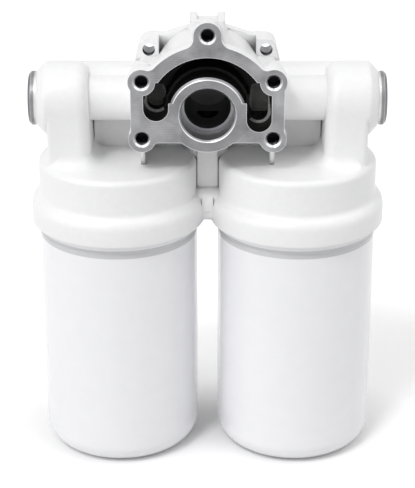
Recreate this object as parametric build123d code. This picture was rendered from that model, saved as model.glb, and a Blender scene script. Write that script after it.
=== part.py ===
# Twin oil filter: one cast head carries two screw-on filter cans side by side.
# Millimetres, +Z up. The origin lies on the floor, midway between the two cans.
# X runs along the head's galleries and -Y is the side of the port flange.

import os
from math import cos, pi, sin

from build123d import *

os.makedirs("parts", exist_ok=True)

# Fits
curved_gap = 0.1  # between round faces of pieces that are fixed together
thread_gap = 0.08  # radial, between the can's hub and its threaded spigot
slide_gap = 0.3  # radial, between pieces that only pass each other
embed = 1.0  # how far joined forms run into each other, and cuts past a face

# The two cans
can_radius = 54.0
can_height = 170.0
can_wall = 1.0
can_edge_round = 15.0
dish_inset = 9.0  # the hollow in the can's bottom ends this far inside the edge's round
dish_depth = 2.5
dish_round = 1.5
seam_height = 5.7
seam_wall = 0.9
lid_wall = 0.9
lid_inner_edge = 2.5  # inside the gasket

# Threaded plate in the top of each can
plate_wall = 4.0
plate_hub_radius = 18.5
plate_hub_length = 12.0
plate_hub_round = 1.0
inlet_hole_radius = 3.2
inlet_hole_circle = 30.0
inlet_hole_count = 8

# Gasket that seals a can against the head
gasket_inset = 5.0  # inside the can's side
gasket_width = 7.0
gasket_height = 4.5
gasket_rib = 0.8
gasket_rib_height = 2.0

# Filter element
element_clearance = 5.0  # round the element, for the oil
media_inset = 2.0  # the pleats end this far inside the caps' rims
media_wall = 0.7
pleat_count = 40
element_cap_wall = 1.2
element_rim_height = 6.0
element_bottom = 22.0
element_headroom = 19.0  # from the pleats to the can's top
tube_radius = 20.5
tube_wall = 1.0
slot_rows = 7
slots_per_row = 6
slot_width = 6.0
slot_height = 8.0
drain_flap_radius = 37.0
drain_flap_wall = 1.6
drain_sleeve_wall = 2.0
drain_bend = 1.5
drain_lip_round = 0.6

# Bypass valve in the element's lower cap
bypass_hole_radius = 8.0
poppet_radius = 11.0
poppet_wall = 2.0
poppet_stem_radius = 2.5
poppet_stem_length = 26.0
poppet_round = 0.5
poppet_tip_round = 0.8
bypass_spring_radius = 7.5
bypass_spring_wire = 1.4
bypass_spring_turns = 5
cage_radius = 15.0
cage_wall = 1.5
cage_leg_width = 7.0
cage_height = 21.0

# Support spring under the element
support_wall = 1.2
support_inner_radius = 22.0
support_foot_inset = 6.0  # inside the round of the can's edge
support_slot_width = 5.0
support_slot_count = 6
support_rim = 4.0  # flat ring at the top and the foot

# Threaded spigot that carries a can
spigot_radius = 15.0
spigot_bore_radius = 10.5
spigot_depth_in_head = 16.0
spigot_end_round = 0.8

# Caps of the head, one over each can
collar_clearance = 0.9  # round the can's lid
collar_wall = 3.3
collar_overlap = 2.0  # the collar's lip hangs this far below the can's top
collar_gap = 3.6  # between the two collars
collar_lip_round = 0.8
shoulder_height = 19.6  # above the collar's lip
shoulder_width = 5.6
shoulder_rise = 4.0
shoulder_round = 8.0
shoulder_hollow = 4.5
cap_height = 44.6  # above the collar's lip
cap_round = 4.0
cap_roof = 11.6  # metal above the inlet groove
inlet_groove_inset = 3.0  # inside the gasket
inlet_groove_round = 3.0
centre_hub_wall = 7.0  # round the spigot
centre_hub_clearance = 2.0  # above the can's top
centre_hub_round = 1.0
seal_seat_round = 0.6

# Web between the caps
web_waist = 12.5  # half its depth
web_top_round = 6.0
web_foot_round = 5.0
saddle_half_width = 12.0
saddle_height = 14.5
saddle_rise = 2.5  # above the shoulders
saddle_lift = 0.6  # in front of the web's waist
saddle_round = 9.0
column_half_width = 7.0
column_front = 4.0
column_back = 26.0

# Bore axis and the flange's face
bore_rise = 40.4  # above the caps' tops
flange_face = -36.0
flange_thickness = 11.0
flange_side = 8.3  # metal beside the chamber's lobes
flange_bottom_drop = 19.1
flange_rim = 8.2  # metal over the chamber's crown
flange_corner = 3.0
ear_radius = 8.9
ear_round = 5.0
bolt_inset = 7.2  # inside the flange's straight sides
bolt_spacing_z = 39.0
bolt_rise = 22.3  # upper bolts above the bore axis
top_bolt_offset = 6.1  # above the flange's arc
top_ear_radius = 9.2
top_ear_round = 7.0
bolt_hole_radius = 4.25
bolt_hole_depth = 15.0
bolt_hole_chamfer = 1.3
ear_boss_radius = 7.4  # behind the flange
ear_boss_depth = 23.0

# Outlet bore and the land round it
bore_radius = 17.6
bore_chamfer = 1.3
bore_depth = 66.0
bore_step = 2.1
bore_step_depth = 18.0
land_width = 7.9
land_chamfer = 1.6

# Crescent inlet chamber round the land
chamber_width = 13.6
chamber_depth = 36.0
chamber_step_depth = 18.0
chamber_step = 2.0
chamber_ear_radius = 9.0
lobe_radius = 8.2
left_lobe_rise = 4.2
right_lobe_rise = -3.3

# Neck behind the flange
dome_wall = 5.9  # over the chamber
dome_taper = 7.0  # the dome gets this much smaller towards the back
shoulder_overhang = 0.2  # beside the flange
shoulder_crown_rise = 19.5  # above the bore axis
shoulder_drop = 20.0  # below the bore axis
shoulder_edge_round = 5.0
top_lug_half_width = 11.5
top_lug_back = -8.0
top_lug_corner = 2.0
top_lug_step = 1.0  # below the top ear
lug_groove_half_width = 6.5
lug_groove_depth = 2.5
rib_half_width = 14.0  # where the lug's rib meets the rear plate
leg_width = 3.0
leg_foot = -18.5

# Rear mounting plate
rear_face = 50.0
rear_plate_thickness = 9.0
rear_bolt_spacing_x = 80.0
rear_bolt_spacing_z = 48.4
rear_lug_radius = 7.0
rear_lug_length = 20.0
rear_side_radius = 12.0
rear_side_rise = 10.0
rear_crown_drop = 1.5  # below the dome's top
rear_crown_half_width = 13.9
rear_crown_foot = 29.0

# Galleries and end bosses
tube_wall_over_passage = 5.0
gallery_radius = 20.0
gallery_offset = 16.0
gallery_end_inset = 9.6  # from the end of the boss
gallery_end_round = 6.0
boss_wall = 8.5  # round the plug's thread
boss_reach = 52.6  # from the can's axis
boss_end_chamfer = 6.0
boss_end_round = 3.0
stand_start = 16.2  # from the can's axis, at the cap's top
stand_lean = 2.5  # it starts this much further out at the top of the arch
stand_end = 45.5  # from the can's axis
stand_side_step = 0.5  # the legs are this much slimmer than the arch
stand_round = 8.0
stand_outer_round = 3.0
back_wall_front = 16.0
back_wall_back = 31.0
foot_flare = 8.0
wall_flare = 4.0

# Passages
inlet_passage_radius = 10.0
outlet_passage_radius = 7.5
outlet_passage_wall = 4.0
outlet_rise = 17.0  # from the cap's centre to the middle of the head
junction_radius = 14.0

# End plugs
plug_thread_radius = 16.5
plug_thread_length = 13.0
plug_collar = 1.6  # wider than the thread
plug_head_height = 4.2
plug_chamfer = 1.7
plug_socket_across = 17.0
plug_socket_depth = 9.0
seal_wall = 1.2
seal_inset = 0.5  # the washer is this much smaller than the collar

# Radii that follow from the sizes above
gasket_outer_radius = can_radius - gasket_inset
gasket_inner_radius = gasket_outer_radius - gasket_width
lid_inner_radius = gasket_inner_radius - lid_inner_edge
element_cap_radius = can_radius - can_wall - element_clearance
media_outer_radius = element_cap_radius - media_inset
dish_radius = can_radius - can_edge_round - dish_inset
support_foot_radius = can_radius - can_edge_round - support_foot_inset
collar_bore_radius = can_radius + curved_gap + seam_wall + collar_clearance
collar_radius = collar_bore_radius + collar_wall
cap_radius = collar_radius - shoulder_width
inlet_groove_radius = gasket_inner_radius - inlet_groove_inset
centre_hub_radius = spigot_radius + centre_hub_wall
bore_step_radius = bore_radius - bore_step
land_radius = bore_radius + land_width
chamber_radius = land_radius + chamber_width
flange_arc_radius = chamber_radius + flange_rim
dome_front_radius = chamber_radius + dome_wall
dome_back_radius = dome_front_radius - dome_taper
front_tube_radius = inlet_passage_radius + tube_wall_over_passage
boss_radius = plug_thread_radius + boss_wall
plug_head_radius = plug_thread_radius + plug_collar

# Widths and places along X and Y
can_axis = collar_radius + collar_gap / 2
lobe_offset = land_radius + lobe_radius
flange_half_width = lobe_offset + lobe_radius + flange_side
bolt_spacing_x = 2 * (flange_half_width - bolt_inset)
shoulder_half_width = flange_half_width + shoulder_overhang
stand_inner = can_axis + stand_start
stand_inner_crown = stand_inner + stand_lean
stand_outer = can_axis + stand_end
stand_half_depth = boss_radius - stand_side_step
boss_end = can_axis + boss_reach
gallery_half_length = boss_end - gallery_end_inset
junction_y = junction_radius - column_front

# Heights
lid_top = can_height + lid_wall
seal_face = lid_top + gasket_height
plate_bottom = can_height - plate_wall
hub_bottom = can_height - plate_hub_length
element_top = can_height - element_headroom
centre_hub_bottom = can_height + centre_hub_clearance
spigot_top = centre_hub_bottom + spigot_depth_in_head
collar_bottom = can_height - collar_overlap
shoulder_top = collar_bottom + shoulder_height
cap_top = collar_bottom + cap_height
inlet_groove_top = cap_top - cap_roof
bore_height = cap_top + bore_rise
shoulder_crown = bore_height + shoulder_crown_rise
shoulder_floor = bore_height - shoulder_drop
top_bolt_rise = flange_arc_radius + top_bolt_offset
rear_crown_rise = dome_back_radius - rear_crown_drop
left_and_right = (("left", -1), ("right", 1))


def section(*corners):
    """Closed face in the XZ plane; a corner is (x, z) or (x, z, radius)."""
    points = [(corner[0], corner[1]) for corner in corners]
    rounds = [corner[2] if len(corner) > 2 else 0 for corner in corners]
    return Plane.XZ * make_face(FilletPolyline(*points, radius=rounds, close=True))


def turned(*corners):
    """Solid of revolution about Z from the corners of its half section."""
    return revolve(section(*corners), axis=Axis.Z)


def ring(outer, inner, bottom, top):
    return turned((inner, bottom), (outer, bottom), (outer, top), (inner, top))


def block(x_range, y_range, z_range):
    size = [high - low for low, high in (x_range, y_range, z_range)]
    middle = [(high + low) / 2 for low, high in (x_range, y_range, z_range)]
    return Pos(*middle) * Box(*size)


def rod_x(radius, x_from, x_to, y, z):
    """Cylinder along X."""
    return Pos((x_from + x_to) / 2, y, z) * Rot(0, 90, 0) * Cylinder(radius, abs(x_to - x_from))


def rod_y(radius, y_from, y_to, x, z):
    """Cylinder along Y."""
    return Pos(x, (y_from + y_to) / 2, z) * Rot(90, 0, 0) * Cylinder(radius, abs(y_to - y_from))


def rod_z(radius, z_from, z_to, x, y):
    """Cylinder along Z."""
    return Pos(x, y, (z_from + z_to) / 2) * Cylinder(radius, abs(z_to - z_from))


def from_front(sketch, y_from, depth):
    """Extrude a sketch drawn in X and Z, from y_from towards the back."""
    return Pos(0, y_from, 0) * extrude(Plane.XZ * sketch, amount=-depth)


def place(piece, x):
    return Pos(x, 0, 0) * piece


# Cans


def can_shell():
    """Deep-drawn cup with a round bottom edge and a shallow dish in its foot."""
    outer = turned(
        (0, 0),
        (can_radius, 0, can_edge_round),
        (can_radius, can_height),
        (0, can_height),
    )
    inner = turned(
        (0, can_wall),
        (can_radius - can_wall, can_wall, can_edge_round - can_wall),
        (can_radius - can_wall, can_height),
        (0, can_height),
    )
    dish = turned(
        (0, 0),
        (dish_radius, 0),
        (dish_radius - dish_depth, dish_depth, dish_round),
        (0, dish_depth),
    )
    pressed = turned(
        (0, can_wall),
        (dish_radius + can_wall, can_wall),
        (dish_radius - dish_depth + can_wall / 2, dish_depth + can_wall, dish_round),
        (0, dish_depth + can_wall),
    )
    return outer - inner + pressed - dish


def can_lid():
    """Seamed ring that closes the can and holds the gasket between two ribs."""
    skirt_inner = can_radius + curved_gap
    skirt_outer = skirt_inner + seam_wall
    body = turned(
        (lid_inner_radius, can_height),
        (skirt_inner, can_height),
        (skirt_inner, can_height - seam_height),
        (skirt_outer, can_height - seam_height, seam_wall / 3),
        (skirt_outer, lid_top, seam_wall),
        (lid_inner_radius, lid_top),
    )
    inner_rib = gasket_inner_radius - slide_gap
    outer_rib = gasket_outer_radius + slide_gap
    rib_top = lid_top + gasket_rib_height
    body += ring(inner_rib, inner_rib - gasket_rib, can_height, rib_top)
    body += ring(outer_rib + gasket_rib, outer_rib, can_height, rib_top)
    return body


def base_plate():
    """Steel plate with a threaded hub and a circle of inlet holes."""
    bore = spigot_radius + thread_gap
    plate = turned(
        (bore, hub_bottom),
        (plate_hub_radius, hub_bottom, plate_hub_round),
        (plate_hub_radius, plate_bottom),
        (can_radius - can_wall - curved_gap, plate_bottom),
        (can_radius - can_wall - curved_gap, can_height),
        (bore, can_height),
    )
    hole = rod_z(inlet_hole_radius, plate_bottom - plate_wall, can_height + plate_wall, 0, 0)
    return plate - PolarLocations(inlet_hole_circle, inlet_hole_count) * hole


def gasket():
    return ring(gasket_outer_radius, gasket_inner_radius, lid_top, seal_face)


def drain_valve():
    """Rubber sleeve with a flap that closes the inlet holes from below."""
    inner = plate_hub_radius + slide_gap
    flap_bottom = plate_bottom - drain_flap_wall
    bottom = element_top + element_cap_wall
    return turned(
        (inner, bottom),
        (inner + drain_sleeve_wall, bottom),
        (inner + drain_sleeve_wall, flap_bottom, drain_bend),
        (drain_flap_radius, flap_bottom, drain_lip_round),
        (drain_flap_radius, plate_bottom),
        (inner, plate_bottom),
    )


def element_cap(bottom, hole_radius):
    """Pressed end cap with a turned rim that holds the pleats."""
    return turned(
        (hole_radius, bottom),
        (element_cap_radius, bottom, element_cap_wall / 2),
        (element_cap_radius, bottom + element_rim_height),
        (element_cap_radius - element_cap_wall, bottom + element_rim_height),
        (element_cap_radius - element_cap_wall, bottom + element_cap_wall),
        (hole_radius, bottom + element_cap_wall),
    )


def element_bottom_cap():
    return element_cap(element_bottom - element_cap_wall, bypass_hole_radius)


def element_top_cap():
    upside_down = Pos(0, 0, element_top + element_cap_wall) * Rot(180, 0, 0)
    return upside_down * element_cap(0, tube_radius - tube_wall)


def element_media():
    """Pleated sheet: a star that runs in and out between two radii."""
    steps = 2 * pleat_count
    valley = tube_radius + curved_gap
    depth = media_outer_radius - valley
    half_pitch = pi / pleat_count * (media_outer_radius + valley) / 2
    shift = depth * media_wall / (half_pitch + media_wall)

    def star(ridge, root):
        points = []
        for step in range(steps):
            angle = 2 * pi * step / steps
            radius = ridge if step % 2 == 0 else root
            points.append((radius * cos(angle), radius * sin(angle)))
        return make_face(Polyline(*points, close=True))

    sheet = star(media_outer_radius, valley + shift) - star(media_outer_radius - shift, valley)
    return Pos(0, 0, element_bottom) * extrude(sheet, amount=element_top - element_bottom)


def centre_tube():
    """Steel core with rows of slots for the clean oil."""
    length = element_top - element_bottom
    tube = ring(tube_radius, tube_radius - tube_wall, element_bottom, element_top)
    cutter = Box(3 * tube_wall, slot_width, slot_height)
    pitch = length / (slot_rows + 1)
    for row in range(1, slot_rows + 1):
        height = element_bottom + row * pitch
        turn = (row % 2) * 180 / slots_per_row
        around = PolarLocations(tube_radius - tube_wall / 2, slots_per_row, turn)
        tube -= around * (Pos(0, 0, height) * cutter)
    return tube


def bypass_poppet():
    """Disc with a stem; it rests on the lower cap's hole and lifts into the tube."""
    stem_top = element_bottom + poppet_wall + poppet_stem_length
    return turned(
        (0, element_bottom),
        (poppet_radius, element_bottom),
        (poppet_radius, element_bottom + poppet_wall, poppet_round),
        (poppet_stem_radius, element_bottom + poppet_wall, poppet_round),
        (poppet_stem_radius, stem_top, poppet_tip_round),
        (0, stem_top),
    )


def bypass_cage():
    """Two-legged yoke over the poppet that the bypass spring presses against."""
    top = element_bottom + cage_height
    yoke = ring(cage_radius, cage_radius - cage_wall, element_bottom, top)
    yoke += ring(cage_radius, poppet_stem_radius + slide_gap, top - cage_wall, top)
    legs = block(
        (-cage_radius, cage_radius),
        (-cage_leg_width / 2, cage_leg_width / 2),
        (element_bottom, top),
    )
    foot_radius = tube_radius - tube_wall - slide_gap
    foot = ring(foot_radius, cage_radius - cage_wall, element_bottom, element_bottom + cage_wall)
    return (yoke & legs) + foot


def bypass_spring():
    """Round-wire coil between the poppet and the cage."""
    bottom = element_bottom + poppet_wall + bypass_spring_wire / 2
    top = element_bottom + cage_height - cage_wall - bypass_spring_wire / 2
    pitch = (top - bottom) / bypass_spring_turns
    path = Helix(pitch=pitch, height=top - bottom, radius=bypass_spring_radius)
    start = Plane(origin=path @ 0, z_dir=path % 0)
    return Pos(0, 0, bottom) * sweep(start * Circle(bypass_spring_wire / 2), path=path)


def support_spring():
    """Dished sheet ring with slots that presses the element up."""
    top = element_bottom - element_cap_wall
    foot = can_wall
    dish = turned(
        (support_inner_radius - support_rim, top),
        (support_inner_radius - support_rim, top - support_wall),
        (support_inner_radius, top - support_wall),
        (support_foot_radius, foot),
        (support_foot_radius + support_rim, foot),
        (support_foot_radius + support_rim, foot + support_wall),
        (support_foot_radius + support_wall / 2, foot + support_wall),
        (support_inner_radius + support_wall / 2, top),
    )
    slot = block(
        (support_inner_radius + embed, support_foot_radius + support_rim + embed),
        (-support_slot_width / 2, support_slot_width / 2),
        (0, top - 2 * support_wall),
    )
    for index in range(support_slot_count):
        dish -= Rot(0, 0, 360 * index / support_slot_count) * slot
    return dish


def spigot():
    """Threaded nipple: the upper end is fixed in the head, the can screws on below."""
    return turned(
        (spigot_bore_radius, hub_bottom),
        (spigot_radius, hub_bottom, spigot_end_round),
        (spigot_radius, spigot_top, spigot_end_round),
        (spigot_bore_radius, spigot_top),
    )


# Head


def cap_solid():
    """Round cap with a rolled top edge, a shoulder and a skirt over the can."""
    return turned(
        (0, cap_top),
        (cap_radius, cap_top, cap_round),
        (cap_radius, shoulder_top, shoulder_hollow),
        (collar_radius, shoulder_top - shoulder_rise, shoulder_round),
        (collar_radius, collar_bottom, collar_lip_round),
        (0, collar_bottom),
    )


def cap_hollow():
    """Space under a cap: the can's recess and the inlet groove round the hub."""
    return turned(
        (0, collar_bottom - embed),
        (collar_bore_radius, collar_bottom - embed),
        (collar_bore_radius, seal_face, seal_seat_round),
        (inlet_groove_radius, seal_face),
        (inlet_groove_radius, inlet_groove_top, inlet_groove_round),
        (centre_hub_radius, inlet_groove_top, inlet_groove_round),
        (centre_hub_radius, centre_hub_bottom, centre_hub_round),
        (0, centre_hub_bottom),
    )


def swept_foot(path, radius):
    """Concave flare along the outside of a wall's outline, drawn anticlockwise."""
    along = path % 0
    outward = along.cross(Vector(0, 0, 1))
    start = Plane(origin=path @ 0, x_dir=outward, z_dir=-along)
    arc = CenterArc((radius, radius), radius, 180, 90)
    rest = Polyline((radius, 0), (radius, -embed), (-embed, -embed), (-embed, radius), (0, radius))
    return sweep(start * make_face(arc + rest), path=path)


def cap_envelope():
    """Cone over a cap's rim that keeps the flares from running past the rim."""
    low = cap_radius - cap_round / 3
    return turned(
        (0, cap_top - cap_round),
        (cap_radius, cap_top - cap_round),
        (low, cap_top - cap_round / 3),
        (low - 2 * foot_flare, cap_top + 2 * foot_flare),
        (0, cap_top + 2 * foot_flare),
    )


def corner_fillet(radius, x, y, toward_x, toward_y, z_from, z_to):
    """Concave upright fillet in the corner at (x, y)."""
    face = Pos(radius / 2, radius / 2) * Rectangle(radius, radius) - Pos(radius, radius) * Circle(radius)
    post = extrude(face, amount=z_to - z_from)
    if toward_x < 0:
        post = mirror(post, about=Plane.YZ)
    if toward_y < 0:
        post = mirror(post, about=Plane.XZ)
    return Pos(x, y, z_from) * post


def rod_between(radius, start, end):
    """Cylinder from one point to another."""
    along = Vector(*end) - Vector(*start)
    return Plane(origin=start, z_dir=along) * Cylinder(
        radius, along.length, align=(Align.CENTER, Align.CENTER, Align.MIN)
    )


def bolt_places():
    """Centres of the flange's four corner bolts, from the bore axis."""
    for x in (-bolt_spacing_x / 2, bolt_spacing_x / 2):
        for z in (bolt_rise, bolt_rise - bolt_spacing_z):
            yield x, z


def rear_bolt_places():
    """Centres of the rear plate's bolts, from the bore axis."""
    for x in (-rear_bolt_spacing_x / 2, rear_bolt_spacing_x / 2):
        for z in (-rear_bolt_spacing_z / 2, rear_bolt_spacing_z / 2):
            yield x, z


def flange_outline():
    """Five-eared outline: an arc over the top, straight sides and a bulge below."""
    arc = Circle(flange_arc_radius) & Pos(0, flange_arc_radius / 2) * Rectangle(
        2 * flange_arc_radius, flange_arc_radius
    )
    side_height = bolt_rise + flange_bottom_drop
    sides = Pos(0, bolt_rise - side_height / 2) * Rectangle(2 * flange_half_width, side_height)
    outline = arc + sides + Circle(land_radius)
    for x, z in bolt_places():
        outline += Pos(x, z) * Circle(ear_radius)
    stalk = Pos(0, top_bolt_rise / 2) * Rectangle(2 * top_ear_radius, top_bolt_rise)
    outline += Pos(0, top_bolt_rise) * Circle(top_ear_radius) + stalk
    beside_top_ear = (flange_arc_radius**2 - top_ear_radius**2) ** 0.5
    by_top_ear = [v for v in outline.vertices() if abs(v.Y - beside_top_ear) < embed]
    outline = fillet(by_top_ear, top_ear_round)
    by_upper_ears = [
        v
        for v in outline.vertices()
        if bolt_rise + embed < v.Y < beside_top_ear - top_ear_round and abs(v.X) < bolt_spacing_x / 2
    ]
    outline = fillet(by_upper_ears, ear_round)
    below = [v for v in outline.vertices() if abs(v.Y + flange_bottom_drop) < slide_gap]
    return fillet(below, flange_corner)


def chamber_outline(inset):
    """Crescent with a lobe on each side of the land; inset makes it smaller all round."""
    outline = Circle(chamber_radius - inset)
    outline &= Pos(0, chamber_radius) * Rectangle(2 * chamber_radius, 2 * chamber_radius - 2 * lobe_radius)
    width = 2 * (lobe_radius - inset)
    for side, rise in ((-1, left_lobe_rise), (1, right_lobe_rise)):
        height = bolt_rise - rise
        outline += Pos(side * lobe_offset, rise) * Circle(width / 2)
        outline += Pos(side * lobe_offset, rise + height / 2) * Rectangle(width, height)
        inner = Rectangle(width, bolt_rise - lobe_radius)
        outline += Pos(side * (lobe_offset - lobe_radius), (bolt_rise + lobe_radius) / 2) * inner
    for side in (-1, 1):
        outline -= Pos(side * bolt_spacing_x / 2, bolt_rise) * Circle(chamber_ear_radius + inset)
    return outline


def chamber():
    """Inlet chamber: wide behind the flange's face, narrower further in.

    The land that it goes round has a chamfered edge.
    """
    mouth = from_front(chamber_outline(0), flange_face - embed, chamber_step_depth + embed)
    inner = from_front(chamber_outline(chamber_step), flange_face, chamber_depth)
    edge = land_radius - land_chamfer
    land = section(
        (0, flange_face - 2 * embed),
        (edge, flange_face - 2 * embed),
        (edge, flange_face),
        (land_radius, flange_face + land_chamfer),
        (land_radius, flange_face + chamber_step_depth),
        (land_radius + chamber_step, flange_face + chamber_step_depth),
        (land_radius + chamber_step, flange_face + chamber_depth + embed),
        (0, flange_face + chamber_depth + embed),
    )
    return mouth + inner - Rot(-90, 0, 0) * revolve(land, axis=Axis.Z)


def neck():
    """Dome over the chamber, square shoulders beside it and the bore's barrel."""
    plate_front = rear_face - rear_plate_thickness
    front = Plane.XZ.offset(-flange_face) * Circle(dome_front_radius)
    back = Plane.XZ.offset(-plate_front) * Circle(dome_back_radius)
    reach = 2 * dome_front_radius
    dome = loft([front, back]) & block((-reach, reach), (-reach, reach), (0, reach))
    plan = make_face(
        Polyline(
            (-shoulder_half_width, flange_face + flange_thickness / 2),
            (shoulder_half_width, flange_face + flange_thickness / 2),
            (shoulder_half_width, rear_face - 2 * rear_lug_length),
            (rear_bolt_spacing_x / 2 + rear_lug_radius, rear_face - rear_lug_length),
            (rear_bolt_spacing_x / 2 + rear_lug_radius, plate_front + embed),
            (-rear_bolt_spacing_x / 2 - rear_lug_radius, plate_front + embed),
            (-rear_bolt_spacing_x / 2 - rear_lug_radius, rear_face - rear_lug_length),
            (-shoulder_half_width, rear_face - 2 * rear_lug_length),
            close=True,
        )
    )
    shoulder = extrude(plan, amount=shoulder_crown - shoulder_floor)
    upper = [e for e in shoulder.edges().group_by(Axis.Z)[-1] if abs(e.center().X) > dome_back_radius]
    shoulder = fillet(upper, shoulder_edge_round)
    barrel = rod_y(land_radius, flange_face, plate_front + embed, 0, bore_height)
    return Pos(0, 0, bore_height) * dome + Pos(0, 0, shoulder_floor) * shoulder + barrel


def top_lug():
    """Grooved block behind the top ear and the rib from it to the rear plate."""
    crown = bore_height + top_bolt_rise + top_ear_radius - top_lug_step
    low = bore_height + dome_back_radius / 2
    block_front = flange_face + flange_thickness / 2
    lug = block((-top_lug_half_width, top_lug_half_width), (block_front, top_lug_back), (low, crown))
    lug = fillet(lug.edges().filter_by(Axis.Z), top_lug_corner)
    lug -= block(
        (-lug_groove_half_width, lug_groove_half_width),
        (flange_face + flange_thickness, top_lug_back + embed),
        (crown - lug_groove_depth, crown + embed),
    )
    rib_front_top = crown - 2 * top_lug_corner
    rib_back_top = bore_height + rear_crown_rise
    rib_back = rear_face - rear_plate_thickness + embed
    rib_front_width = 2 * (top_lug_half_width - top_lug_corner)
    front = Pos(0, (low + rib_front_top) / 2) * Rectangle(rib_front_width, rib_front_top - low)
    back = Pos(0, (low + rib_back_top) / 2) * Rectangle(2 * rib_half_width, rib_back_top - low)
    rib = loft([Plane.XZ.offset(-top_lug_back + embed) * front, Plane.XZ.offset(-rib_back) * back])
    return lug + rib


def flange_legs():
    """Thin gussets from the lower ears down to the caps and back to the wall."""
    ear_low = bore_height + bolt_rise - bolt_spacing_z
    side_view = make_face(
        Plane.YZ
        * Polyline(
            (flange_face + leg_width, ear_low),
            (flange_face + 2 * leg_width, ear_low - ear_radius),
            (leg_foot, cap_top - embed),
            (back_wall_front + embed, cap_top - embed),
            (back_wall_front + embed, shoulder_floor + embed),
            (-ear_radius, shoulder_floor + embed),
            close=True,
        )
    )
    leg = extrude(side_view, amount=leg_width / 2, both=True)
    return Pos(-bolt_spacing_x / 2, 0, 0) * leg + Pos(bolt_spacing_x / 2, 0, 0) * leg


def flange():
    body = Pos(0, 0, bore_height) * from_front(flange_outline(), flange_face, flange_thickness)
    boss_back = flange_face + ear_boss_depth
    for x, z in bolt_places():
        body += rod_y(ear_boss_radius, flange_face + embed, boss_back, x, bore_height + z)
    return body


def end_boss():
    """Right-hand arched boss: it stands on the cap and its nose takes the plug."""
    leg_height = bore_height - cap_top + cap_round
    nose_start = stand_inner_crown + stand_round
    leg = Pos(0, -leg_height / 2) * Rectangle(2 * stand_half_depth, leg_height)
    arch = Plane.YZ.offset(stand_inner) * (Circle(boss_radius) + leg)
    stand = extrude(arch, amount=nose_start + embed - stand_inner)
    lean = make_face(
        Plane.XZ
        * Polyline(
            (stand_inner, -leg_height),
            (stand_outer, -leg_height),
            (stand_outer, boss_radius),
            (stand_inner_crown, boss_radius),
            close=True,
        )
    )
    stand &= extrude(lean, amount=boss_radius, both=True)
    above_foot = [e for e in stand.edges() if e.center().Z > embed - leg_height]
    stand = fillet([e for e in above_foot if e.center().X < stand_inner_crown + embed], stand_round)
    legs = extrude(Plane.YZ.offset(nose_start) * leg, amount=stand_outer - nose_start)
    outer = [e for e in legs.edges().filter_by(Axis.Z) if e.center().X > stand_outer - embed]
    legs = fillet(outer, stand_outer_round)
    nose = section(
        (0, 0),
        (0, boss_end),
        (boss_radius - boss_end_chamfer, boss_end, boss_end_round),
        (boss_radius, boss_end - boss_end_chamfer, boss_end_round),
        (boss_radius, nose_start),
        (0, nose_start),
    )
    boss = stand + legs + Rot(0, 90, 0) * revolve(nose, axis=Axis.Z)
    return Pos(0, 0, bore_height) * boss


def stand_foot():
    """Flare round the foot of the right-hand boss, kept inside the cap's rim."""
    outline = FilletPolyline(
        (stand_inner, 0, cap_top),
        (stand_inner, -stand_half_depth, cap_top),
        (stand_outer, -stand_half_depth, cap_top),
        (stand_outer, stand_half_depth, cap_top),
        (stand_inner, stand_half_depth, cap_top),
        radius=[0, stand_round, stand_outer_round, stand_outer_round, stand_round],
        close=True,
    )
    return swept_foot(outline, foot_flare) & place(cap_envelope(), can_axis)


def galleries():
    """Front tube, larger rear gallery and the wall that carries them."""
    reach = stand_inner_crown + stand_round
    tube = rod_x(front_tube_radius, -reach, reach, 0, bore_height)
    gallery = rod_x(gallery_radius, -gallery_half_length, gallery_half_length, gallery_offset, bore_height)
    gallery = fillet(gallery.edges().filter_by(GeomType.CIRCLE), gallery_end_round)
    end = gallery_half_length - gallery_end_round
    foot = cap_top - embed
    wall = block((-end, end), (back_wall_front, back_wall_back), (foot, bore_height))
    return tube + gallery + wall


def bridge():
    """Web that joins the two collars, and the column between the caps."""
    web_corner = (can_axis**2 + web_waist**2 - collar_radius**2) / (2 * (collar_radius - web_waist))
    reach = collar_radius + web_corner
    depth = web_waist + web_corner
    touch_x = web_corner * can_axis / reach
    touch_y = depth * collar_radius / reach
    plan = Rectangle(2 * touch_x, 2 * touch_y)
    for side in (-1, 1):
        plan -= Pos(0, side * depth) * Circle(web_corner)
    height = shoulder_top - collar_bottom
    web = extrude(plan, amount=height)
    arcs = web.edges().filter_by(GeomType.CIRCLE)
    web = fillet([e for e in arcs if e.center().Z > height - embed], web_top_round)
    arcs = web.edges().filter_by(GeomType.CIRCLE)
    web = fillet([e for e in arcs if e.center().Z < embed], web_foot_round)
    saddle_front = web_waist + saddle_lift
    saddle_top = shoulder_top + saddle_rise
    saddle = block(
        (-saddle_half_width, saddle_half_width),
        (-saddle_front, saddle_front),
        (saddle_top - saddle_height, saddle_top),
    )
    upper = [e for e in saddle.edges().filter_by(Axis.X) if e.center().Z > saddle_top - embed]
    saddle = fillet(upper, saddle_round)
    column = block(
        (-column_half_width, column_half_width),
        (-column_front, column_back),
        (shoulder_top - shoulder_rise, bore_height - land_radius / 2),
    )
    junction = rod_z(junction_radius, shoulder_top, bore_height - land_radius / 2, 0, junction_y)
    return Pos(0, 0, collar_bottom) * web + saddle + column + junction


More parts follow.
